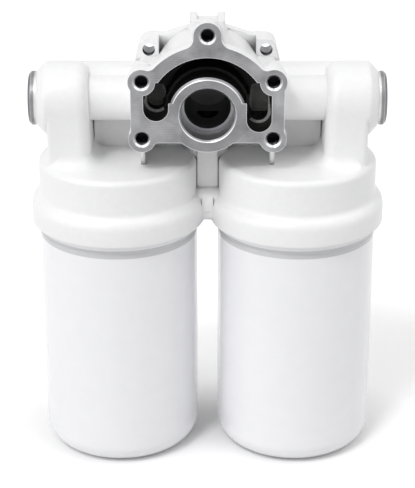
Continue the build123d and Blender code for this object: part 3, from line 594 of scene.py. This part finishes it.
# painted shade: an ambient occlusion node mixes grey into the coat where walls come near
corner = {"Distance": CREVICE_MM * MM}
open_air = add_node(tree, "ShaderNodeAmbientOcclusion", corner, samples=8).outputs["AO"]
limits = {"Value": open_air, "From Min": SHADE_FULL_AIR, "From Max": SHADE_FREE_AIR}
unshaded = add_node(tree, "ShaderNodeMapRange", limits).outputs["Result"]
tones = {MIX_SHARE: unshaded, COLOUR_A: linear("#77777a"), COLOUR_B: white}
shaded = add_node(tree, "ShaderNodeMix", tones, data_type="RGBA").outputs[COLOUR_OUT]
tree.links.new(shaded, shader.inputs["Base Color"])
relief = {"Height": peel, "Distance": PEEL_RELIEF_MM * MM, "Normal": sanded}
peeled = add_node(tree, "ShaderNodeBump", relief).outputs["Normal"]
tree.links.new(peeled, shader.inputs["Normal"])
shader.inputs["Coat Weight"].default_value = 0.15
shader.inputs["Coat Roughness"].default_value = 0.12
print("coat made")

# %% [markdown]
# The flange's face is milled aluminium: a dull mid grey with the faint curved lines of a face mill,
# and a bright line along every edge, a painted highlight such as a small chamfer would catch. Real
# cutter marks lie about 0.3 mm apart. They are drawn coarser, so that they show at all in the
# picture. The edges could be picked in the mesh, but it is shorter to compare the face's normal
# with the one that a Bevel node rounds over the width of the painted highlight.

# %% The milled face
CUTTER_PITCH_MM = 1.6
CUTTER_PLACE = (-30.0, 0.0, BORE_HEIGHT - 120)  # the curved lines go round this place
CUTTER_SHARE = 0.06  # the cutter's lines against the stains that handling leaves
STAIN_MM = 16.0
EDGE_MM = 0.7
STRAIGHT, CORNER = 0.995, 0.9  # cosines between the two normals, where the painted highlight starts and is full


def wave_scale(pitch_mm):
    """Scale for a wave that repeats every pitch: at scale 1 it repeats every pi / 10 units."""
    return np.pi / 10 / pitch_mm


def rings(tree, place, centre_mm, pitch_mm):
    """Fine rings about a line along Y: a sine of the distance from it. Returns the wave and the
    vector from the line, in mm."""
    away = {0: place, 1: centre_mm}
    away = add_node(tree, "ShaderNodeVectorMath", away, operation="SUBTRACT").outputs[0]
    flat = {0: away, 1: (1, 0, 1)}
    flat = add_node(tree, "ShaderNodeVectorMath", flat, operation="MULTIPLY").outputs[0]
    wave = {"Vector": flat, "Scale": wave_scale(pitch_mm), "Distortion": 0.6, "Detail": 1.0}
    around = {"wave_type": "RINGS", "rings_direction": "SPHERICAL"}
    return add_node(tree, "ShaderNodeTexWave", wave, **around).outputs["Fac"], flat


def paint_edge_highlight(tree, shader, width_mm, colour):
    """Mixes a painted highlight into the base where the surface turns a corner within width_mm."""
    edge = {"Radius": width_mm * MM}
    turned = add_node(tree, "ShaderNodeBevel", edge, samples=8).outputs["Normal"]
    true = add_node(tree, "ShaderNodeNewGeometry").outputs["Normal"]
    alike = add_node(tree, "ShaderNodeVectorMath", {0: turned, 1: true}, operation="DOT_PRODUCT")
    limits = {"Value": alike.outputs["Value"], "From Min": STRAIGHT, "From Max": CORNER}
    edge_highlight = add_node(tree, "ShaderNodeMapRange", limits).outputs["Result"]
    base = shader.inputs["Base Color"].links[0].from_socket
    tones = {MIX_SHARE: edge_highlight, COLOUR_A: base, COLOUR_B: linear(colour)}
    mixed = add_node(tree, "ShaderNodeMix", tones, data_type="RGBA").outputs[COLOUR_OUT]
    tree.links.new(mixed, shader.inputs["Base Color"])


milled, tree, shader = new_material("face-milled aluminium")
place = place_in_mm(tree)
cutter, _ = rings(tree, place, CUTTER_PLACE, CUTTER_PITCH_MM)
stain = {"Vector": place, "Scale": 1 / STAIN_MM, "Detail": 4}
stain = add_node(tree, "ShaderNodeTexNoise", stain).outputs["Fac"]
both = {MIX_SHARE: CUTTER_SHARE, VALUE_A: stain, VALUE_B: cutter}
both = add_node(tree, "ShaderNodeMix", both, data_type="FLOAT").outputs[VALUE_OUT]
vary(tree, shader, both, ("#454547", "#bdbdbf"), (0.36, 0.46), 0.003)
# painted highlight along the edges of the milled face
paint_edge_highlight(tree, shader, EDGE_MM, "#e8e8ea")
shader.inputs["Metallic"].default_value = 1.0
print("milled face made")

# %% [markdown]
# Round the outlet bore the face was turned on a lathe, so its lines run in rings about the bore.
# Fine rings stretch every highlight across themselves, and this gives turned faces their fan of
# light. The shader does the same with its anisotropic setting and a tangent that runs round the
# bore.

# %% The turned sealing face round the bore
BORE_PLACE = (0.0, 0.0, BORE_HEIGHT)
LATHE_PITCH_MM = 0.8  # a real facing cut is 0.2 mm a turn, too fine to show
LATHE_SHARE = 0.3

faced, tree, shader = new_material("lathe-faced aluminium")
place = place_in_mm(tree)
lathe, from_axis = rings(tree, place, BORE_PLACE, LATHE_PITCH_MM)
stain = {"Vector": place, "Scale": 1 / STAIN_MM, "Detail": 3}
stain = add_node(tree, "ShaderNodeTexNoise", stain).outputs["Fac"]
both = {MIX_SHARE: LATHE_SHARE, VALUE_A: stain, VALUE_B: lathe}
both = add_node(tree, "ShaderNodeMix", both, data_type="FLOAT").outputs[VALUE_OUT]
vary(tree, shader, both, ("#3d3d40", "#b2b2b5"), (0.4, 0.48), 0.004)
# painted highlight along the edges of the turned face
paint_edge_highlight(tree, shader, EDGE_MM, "#f2f2f4")
tangent = {0: from_axis, 1: (0, 1, 0)}
tangent = add_node(tree, "ShaderNodeVectorMath", tangent, operation="CROSS_PRODUCT").outputs[0]
tree.links.new(tangent, shader.inputs["Tangent"])
shader.inputs["Anisotropic"].default_value = 0.8
shader.inputs["Metallic"].default_value = 1.0
print("turned face made")

# %% [markdown]
# Countersinks and the bore are turned aluminium. The tool leaves fine bands across the hole's axis,
# and the fresh metal gives the eye a bright ring. Along the bore the colour is painted light and
# shade: a painted highlight on the chamfer, painted light on the wall at the mouth, and painted
# shade further in. That could be painted as faces, but a colour ramp along the bore's depth has no
# steps. The feed of the tool is drawn coarser than the real 0.2 mm, so that it shows.

# %% Countersinks
FEED_MM = 0.9

sunk, tree, shader = new_material("turned aluminium countersinks")
place = place_in_mm(tree)
feed = {"Vector": place, "Scale": wave_scale(FEED_MM), "Distortion": 0.3}
feed = add_node(tree, "ShaderNodeTexWave", feed, wave_type="BANDS", bands_direction="Y")
vary(tree, shader, feed.outputs["Fac"], ("#b4b4b6", "#cfcfd1"), (0.2, 0.3), 0.004)
shader.inputs["Metallic"].default_value = 1.0
print("countersinks made")

# %% The outlet bore
DEPTH_SCALE = 36.0  # how far in the ramp goes, in mm
# Millimetres from the face and the tone there: a painted highlight on the chamfer, its dull rim,
# painted light on the wall at the mouth, painted shade further in
BORE_LIGHT_AND_SHADE = [(0, "#e8e8ea"), (0.35, "#c4c4c7"), (0.7, "#7c7c7f"), (1.9, "#9a9a9d")]
BORE_LIGHT_AND_SHADE += [(2.6, "#e0e0e2"), (12, "#cfcfd2"), (20, "#77777a"), (30, "#5a5a5c")]

bored, tree, shader = new_material("bored aluminium with painted light and shade")
place = place_in_mm(tree)
feed = {"Vector": place, "Scale": wave_scale(FEED_MM), "Distortion": 0.3}
feed = add_node(tree, "ShaderNodeTexWave", feed, wave_type="BANDS", bands_direction="Y")
vary(tree, shader, feed.outputs["Fac"], ("#dcdcde", "#ececee"), (0.3, 0.42), 0.004)
# painted light and shade along the bore's depth
inward = add_node(tree, "ShaderNodeSeparateXYZ", {0: place}).outputs["Y"]
span = {"Value": inward, "From Min": FACE_Y, "From Max": FACE_Y + DEPTH_SCALE}
how_deep = add_node(tree, "ShaderNodeMapRange", span).outputs["Result"]
tones = add_node(tree, "ShaderNodeValToRGB", {"Fac": how_deep})
stops = tones.color_ramp.elements
stops[0].color, stops[1].color = linear(BORE_LIGHT_AND_SHADE[0][1]), linear(BORE_LIGHT_AND_SHADE[-1][1])
stops[1].position = BORE_LIGHT_AND_SHADE[-1][0] / DEPTH_SCALE
for far_in, code in BORE_LIGHT_AND_SHADE[1:-1]:
    stops.new(far_in / DEPTH_SCALE).color = linear(code)
tree.links.new(tones.outputs["Color"], shader.inputs["Base Color"])
shader.inputs["Metallic"].default_value = 1.0
print("bore made")

# %% [markdown]
# The tapped walls are aluminium in a dark tone, painted shade inside the holes, with glints on the
# crests of the teeth. The chamber and the oil ways are bare sand casting: a coarse skin, nearly
# black as painted shade, so the flange stands out against it. Where the lobes open to the front, the
# faces that look forward get a pale copy of the skin as painted light.

# %% Tapped walls
SWARF_MM = 0.9

tapped, tree, shader = new_material("tapped aluminium in painted shade")
place = place_in_mm(tree)
swarf = {"Vector": place, "Scale": 1 / SWARF_MM, "Detail": 3}
swarf = add_node(tree, "ShaderNodeTexNoise", swarf).outputs["Fac"]
# painted shade: the dark tone stands for the shade inside the holes
vary(tree, shader, swarf, ("#3a3a3c", "#8c8c90"), (0.25, 0.4), 0.01)
shader.inputs["Metallic"].default_value = 1.0
print("tapped walls made")

# %% As-cast oil ways
SKIN_MM = 1.6  # real sand leaves marks of about 0.5 mm, too fine to show in the picture


def cast_skin(name, dark, light, metallic):
    """Bare sand-cast aluminium: a coarse skin of sand grains, dark hollows and lighter crests."""
    material, tree, shader = new_material(name)
    place = place_in_mm(tree)
    skin = {"Vector": place, "Scale": 1 / SKIN_MM, "Detail": 4}
    skin = add_node(tree, "ShaderNodeTexNoise", skin).outputs["Fac"]
    vary(tree, shader, skin, (dark, light), (0.4, 0.6), 0.15)
    shader.inputs["Metallic"].default_value = metallic
    return material


# the cast skin in painted shade and a pale copy of it in painted light
shaded_skin = cast_skin("sand-cast aluminium in painted shade", "#141413", "#2a2928", 0.7)
lit_skin = cast_skin("sand-cast aluminium in painted light", "#9a9a99", "#f0f0ee", 0.0)
print("oil ways made")

# %% Dress the casting
for material in (coat, milled, faced, sunk, bored, shaded_skin, lit_skin):
    head.data.materials.append(material)
head.data.polygons.foreach_set("material_index", finish.astype(np.int32))
head.data.update()
threads.data.materials.append(tapped)
print("finishes on the head:", [material.name for material in head.data.materials])

# %% [markdown]
# The cans are painted steel: a gloss enamel that is smoother than powder coat, a touch cooler in
# its white. Its ripple is so slight that it only breaks up the reflections a little. A grey band on
# the neck under the lid and a dark one just below the collar's lip are painted shade under the
# collar. Both are bands of height, so two soft steps on the Z coordinate draw them on shell and lid
# alike.

# %% The can enamel
RIPPLE_MM = 9.0
NECK_MM = 6.2  # height of the painted-shade band under the lid's lip
NECK_FADE_MM = 0.5
LIP_GAP_MM = 1.2  # how far below the collar's lip the painted shade of the gap reaches
LIP_FADE_MM = 0.4
COLLAR_FOOT = CAN_TOP - 2.0
neck_foot = lid_low[2] - NECK_MM
gap_foot = COLLAR_FOOT - LIP_GAP_MM

enamel, tree, shader = new_material("white gloss enamel on drawn steel")
place = place_in_mm(tree)
ripple = {"Vector": place, "Scale": 1 / RIPPLE_MM, "Detail": 1}
ripple = add_node(tree, "ShaderNodeTexNoise", ripple).outputs["Fac"]
vary(tree, shader, ripple, ("#f4f4f7", "#f8f8fb"), (0.2, 0.26), 0.01)
white = shader.inputs["Base Color"].links[0].from_socket
level = add_node(tree, "ShaderNodeSeparateXYZ", {0: place}).outputs["Z"]
neck = {"Value": level, "From Min": neck_foot, "From Max": neck_foot + NECK_FADE_MM}
above = add_node(tree, "ShaderNodeMapRange", neck).outputs["Result"]
below = {0: level, 1: lid_low[2]}
below = add_node(tree, "ShaderNodeMath", below, operation="LESS_THAN").outputs[0]
on_neck = add_node(tree, "ShaderNodeMath", {0: above, 1: below}, operation="MULTIPLY").outputs[0]
# painted shade: a grey band on the neck under the lid
neck_shaded = {MIX_SHARE: on_neck, COLOUR_A: white, COLOUR_B: linear("#cfcfd1")}
neck_shaded = add_node(tree, "ShaderNodeMix", neck_shaded, data_type="RGBA").outputs[COLOUR_OUT]
gap = {"Value": level, "From Min": gap_foot, "From Max": gap_foot + LIP_FADE_MM}
in_gap = add_node(tree, "ShaderNodeMapRange", gap).outputs["Result"]
# painted shade: dark just below the collar's lip, where the lid goes into it
gap_shaded = {MIX_SHARE: in_gap, COLOUR_A: neck_shaded, COLOUR_B: linear("#38383a")}
gap_shaded = add_node(tree, "ShaderNodeMix", gap_shaded, data_type="RGBA").outputs[COLOUR_OUT]
tree.links.new(gap_shaded, shader.inputs["Base Color"])
shader.inputs["Coat Weight"].default_value = 0.4
shader.inputs["Coat Roughness"].default_value = 0.06
for piece in shells + lids:
    piece.data.materials.append(enamel)
print("enamel on", [piece.name for piece in shells + lids])

# %% [markdown]
# The rest is bare metal, rubber and paper, most of it inside the cans. One function makes the
# metals, because they differ only in colour, roughness and the size of the marks that their making
# leaves. Zinc is plated and cool, tinplate is rolled and a touch warm, spring steel is dark from
# its oil bath, and the washer is plain stamped aluminium.

# %% Bare metals
ROUGH_BELOW, ROUGH_ABOVE = 0.05, 0.07


def bare_metal(name, colours, rough, mark_mm):
    """A metal whose colour, roughness and relief vary with marks of a given size."""
    material, tree, shader = new_material(name)
    place = place_in_mm(tree)
    marks = {"Vector": place, "Scale": 1 / mark_mm, "Detail": 4}
    marks = add_node(tree, "ShaderNodeTexNoise", marks).outputs["Fac"]
    vary(tree, shader, marks, colours, (rough - ROUGH_BELOW, rough + ROUGH_ABOVE), 0.004)
    shader.inputs["Metallic"].default_value = 1.0
    return material


zinc = bare_metal("bright zinc on steel", ("#b4b7ba", "#d3d6d8"), 0.3, 3.0)
tinplate = bare_metal("tinplate", ("#bcbcba", "#d2d2cf"), 0.28, 6.0)
spring_wire = bare_metal("oil-hardened spring steel", ("#3b3b3e", "#56565a"), 0.4, 1.5)
washer_metal = bare_metal("plain aluminium washer", ("#c9c9c8", "#e2e2e1"), 0.35, 2.0)
print("metals made")

# %% [markdown]
# The seals are moulded nitrile rubber: almost black and dull, with the faint bloom of wax that
# comes to its surface. The element is filter paper stiffened with resin, which gives it a
# yellow-brown, matt and fibrous face. Its real fibres are far too fine to see, so they are drawn
# about a millimetre long.

# %% Rubber and filter paper
BLOOM_MM = 2.0
FIBRE_MM = 0.8

rubber, tree, shader = new_material("moulded nitrile rubber")
place = place_in_mm(tree)
bloom = {"Vector": place, "Scale": 1 / BLOOM_MM, "Detail": 4}
bloom = add_node(tree, "ShaderNodeTexNoise", bloom).outputs["Fac"]
vary(tree, shader, bloom, ("#141414", "#242424"), (0.55, 0.7), 0.02)

paper, tree, shader = new_material("resin-treated filter paper")
place = place_in_mm(tree)
fibre = {"Vector": place, "Scale": 1 / FIBRE_MM, "Detail": 6}
fibre = add_node(tree, "ShaderNodeTexNoise", fibre).outputs["Fac"]
vary(tree, shader, fibre, ("#c9ad74", "#e0c893"), (0.8, 0.9), 0.05)
print("rubber and paper made")


# %% Finish the inner pieces
def dress(material, *names):
    """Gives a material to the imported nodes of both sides."""
    for side in SIDES:
        for name in names:
            for material_slot in nodes[side + "_" + name].material_slots:
                material_slot.material = material


for gasket in gaskets:
    gasket.data.materials.append(rubber)
dress(rubber, "drain_valve")
dress(paper, "element_media")
dress(zinc, "base_plate", "spigot", "bypass_poppet")
dress(tinplate, "element_top_cap", "element_bottom_cap", "centre_tube", "bypass_cage")
dress(spring_wire, "support_spring")
dress(washer_metal, "plug_seal")
print("inner pieces dressed")

# %% [markdown]
# A bypass spring is wound wire between its poppet, which lifts, and the cage, which stays. A stiff
# coil would cut into the poppet, and one coil can't follow two bodies. Here a merged copy of the
# solid stands in for it, in spring steel, with its place baked into its mesh.

# %% The bypass springs
for side in SIDES:
    solid = side + "_bypass_spring"
    coil = merged_copy(solid, side + "_wound_spring")
    coil.data.materials.append(spring_wire)
    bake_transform(coil)

# %% [markdown]
# The end plugs are turned steel with a hexagon socket: darker and smoother than the aluminium, with
# a painted highlight on their edges. Their face shows rings about the plug's own axis. That axis
# runs along X, so the pattern is flattened along X before it is read, where the flange's was
# flattened along Y.

# %% The end plugs
plug_steel, tree, shader = new_material("turned plug steel")
place = place_in_mm(tree)
away = {0: place, 1: BORE_PLACE}
away = add_node(tree, "ShaderNodeVectorMath", away, operation="SUBTRACT").outputs[0]
flat = {0: away, 1: (0, 1, 1)}
flat = add_node(tree, "ShaderNodeVectorMath", flat, operation="MULTIPLY").outputs[0]
wave = {"Vector": flat, "Scale": wave_scale(LATHE_PITCH_MM), "Distortion": 0.4}
around = {"wave_type": "RINGS", "rings_direction": "SPHERICAL"}
wave = add_node(tree, "ShaderNodeTexWave", wave, **around).outputs["Fac"]
vary(tree, shader, wave, ("#57575a", "#8e8e91"), (0.24, 0.34), 0.008)
# painted highlight along the edges of the plugs
paint_edge_highlight(tree, shader, EDGE_MM, "#dededf")
shader.inputs["Metallic"].default_value = 1.0
plugs = []
for side in SIDES:
    plug = merged_copy(side + "_end_plug", side + "_turned_plug")
    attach(plug, "head")
    plug.data.materials.append(plug_steel)
    plugs.append(plug)
print("plugs:", [plug.name for plug in plugs])

# %% [markdown]
# The studio is a bright one: a sweep of white paper under and behind the filter, and soft light
# from all round. Area lamps would light the paper unevenly, so the lamps are suns with a wide
# angle, which act as huge softboxes. The paper is nearly white and, where it is seen directly,
# glows a little, up to the white of the background. The glow fades close to the cans, so that their
# soft shadow stays.

# %% The white floor
FLOOR_SIZE = 12.0  # metres
FLOOR_SEEN = "#fbfbfb"
FLOOR_BOUNCE = "#e4e4e4"  # what it throws back on the cans: a real sweep is never quite white
CONTACT_MM = 45.0  # how near the cans the glow fades
CONTACT_POWER = 2.0
FLOOR_GLOW = 0.25  # only seen directly: it throws no light on the filter

floor_mesh = bpy.data.meshes.new("floor")
half = FLOOR_SIZE / 2
floor_corners = [(-half, -half, 0), (half, -half, 0), (half, half, 0), (-half, half, 0)]
floor_mesh.from_pydata(floor_corners, [], [(0, 1, 2, 3)])
floor = bpy.data.objects.new("floor", floor_mesh)
bpy.context.scene.collection.objects.link(floor)


def seen_directly(tree):
    """1 for rays that show a surface to the eye, straight, in a mirror or through glass, else 0."""
    ray = add_node(tree, "ShaderNodeLightPath")
    either = {0: ray.outputs["Is Camera Ray"], 1: ray.outputs["Is Glossy Ray"]}
    seen = add_node(tree, "ShaderNodeMath", either, operation="MAXIMUM")
    either = {0: seen.outputs[0], 1: ray.outputs["Is Transmission Ray"]}
    return add_node(tree, "ShaderNodeMath", either, operation="MAXIMUM").outputs[0]


floor_white, tree, shader = new_material("white paper sweep")
seen = seen_directly(tree)
tones = {MIX_SHARE: seen, COLOUR_A: linear(FLOOR_BOUNCE), COLOUR_B: linear(FLOOR_SEEN)}
tone = add_node(tree, "ShaderNodeMix", tones, data_type="RGBA").outputs[COLOUR_OUT]
contact = {"Distance": CONTACT_MM * MM}
open_air = add_node(tree, "ShaderNodeAmbientOcclusion", contact, samples=8).outputs["AO"]
fade = {0: open_air, 1: CONTACT_POWER}
fade = add_node(tree, "ShaderNodeMath", fade, operation="POWER").outputs[0]
glow = add_node(tree, "ShaderNodeMath", {0: seen, 1: FLOOR_GLOW}, operation="MULTIPLY").outputs[0]
glow = add_node(tree, "ShaderNodeMath", {0: glow, 1: fade}, operation="MULTIPLY").outputs[0]
tree.links.new(tone, shader.inputs["Base Color"])
tree.links.new(glow, shader.inputs["Emission Strength"])
shader.inputs["Emission Color"].default_value = (1, 1, 1, 1)
shader.inputs["Roughness"].default_value = 0.9
shader.inputs["Specular IOR Level"].default_value = 0.0
floor_mesh.materials.append(floor_white)
print("floor made")

# %% [markdown]
# The background is white where it is seen, also in the metal's reflections, but it lights the
# filter only dimly, as the walls of a studio do. The lamps do the rest: a soft key from the front
# left with a smaller, crisper one above it, a low one that reaches under the flange, and fills from
# above and from the right. Together they are just short of the level at which the white coat would
# lose its shape.

# %% Background and lamps
SKY = 0.31  # strength of the background as a light

world = bpy.data.worlds.new("bright studio")
bpy.context.scene.world = world
world.use_nodes = True
tree = world.node_tree
background = tree.nodes["Background"]
strength = {"Value": seen_directly(tree), "To Min": SKY, "To Max": 1.0}
strength = add_node(tree, "ShaderNodeMapRange", strength).outputs["Result"]
background.inputs["Color"].default_value = (1, 1, 1, 1)
tree.links.new(strength, background.inputs["Strength"])


def soft_sun(name, toward, strength, angle):
    """A sun that shines along a direction, as wide as a softbox of that angle in degrees."""
    lamp = bpy.data.lights.new(name, "SUN")
    lamp.energy = strength
    lamp.angle = np.radians(angle)
    sun = bpy.data.objects.new(name, lamp)
    sun.rotation_euler = Vector(toward).to_track_quat("-Z", "Y").to_euler()
    bpy.context.scene.collection.objects.link(sun)


soft_sun("front left softbox", (1, 1, -1), 0.65, 50)
soft_sun("high key lamp", (0.6, 1, -1.6), 0.8, 12)
soft_sun("left softbox", (1, 0.3, -0.3), 0.45, 50)
soft_sun("overhead softbox", (0, 0, -1), 0.35, 60)
soft_sun("right softbox", (-1, 0.2, -1), 0.74, 60)
print("world and lamps made")

# %% [markdown]
# The camera repeats the photograph's view: square to the flange, 23.6 degrees down, from a long way
# off with a long lens, so the cans' sides stay almost parallel. The lens is worked out from its
# length in pixels. The picture is taller than wide, so Blender's automatic fit lays the sensor
# along its height.

# %% Camera
CAMERA_DOWN = np.radians(23.62)
CAMERA_AWAY = 1216.98  # mm from the point that it looks at
TARGET_HEIGHT = 146.0  # height of that point in mm
LENS_PIXELS = 1752.5
IMAGE_HEIGHT = 488  # pixels
SENSOR = 36.0  # mm
FARTHEST = 50.0  # metres

camera_data = bpy.data.cameras.new("camera")
camera = bpy.data.objects.new("camera", camera_data)
bpy.context.scene.collection.objects.link(camera)
back = CAMERA_AWAY * np.cos(CAMERA_DOWN)
up = TARGET_HEIGHT + CAMERA_AWAY * np.sin(CAMERA_DOWN)
camera.location = (0, -back * MM, up * MM)
camera.rotation_euler = (np.pi / 2 - CAMERA_DOWN, 0, 0)
camera_data.sensor_width = SENSOR
camera_data.sensor_fit = "AUTO"
camera_data.lens = LENS_PIXELS / IMAGE_HEIGHT * SENSOR
camera_data.clip_end = FARTHEST
bpy.context.scene.camera = camera
bpy.context.scene.view_settings.view_transform = "Standard"
print("camera at", tuple(round(value, 4) for value in camera.location))
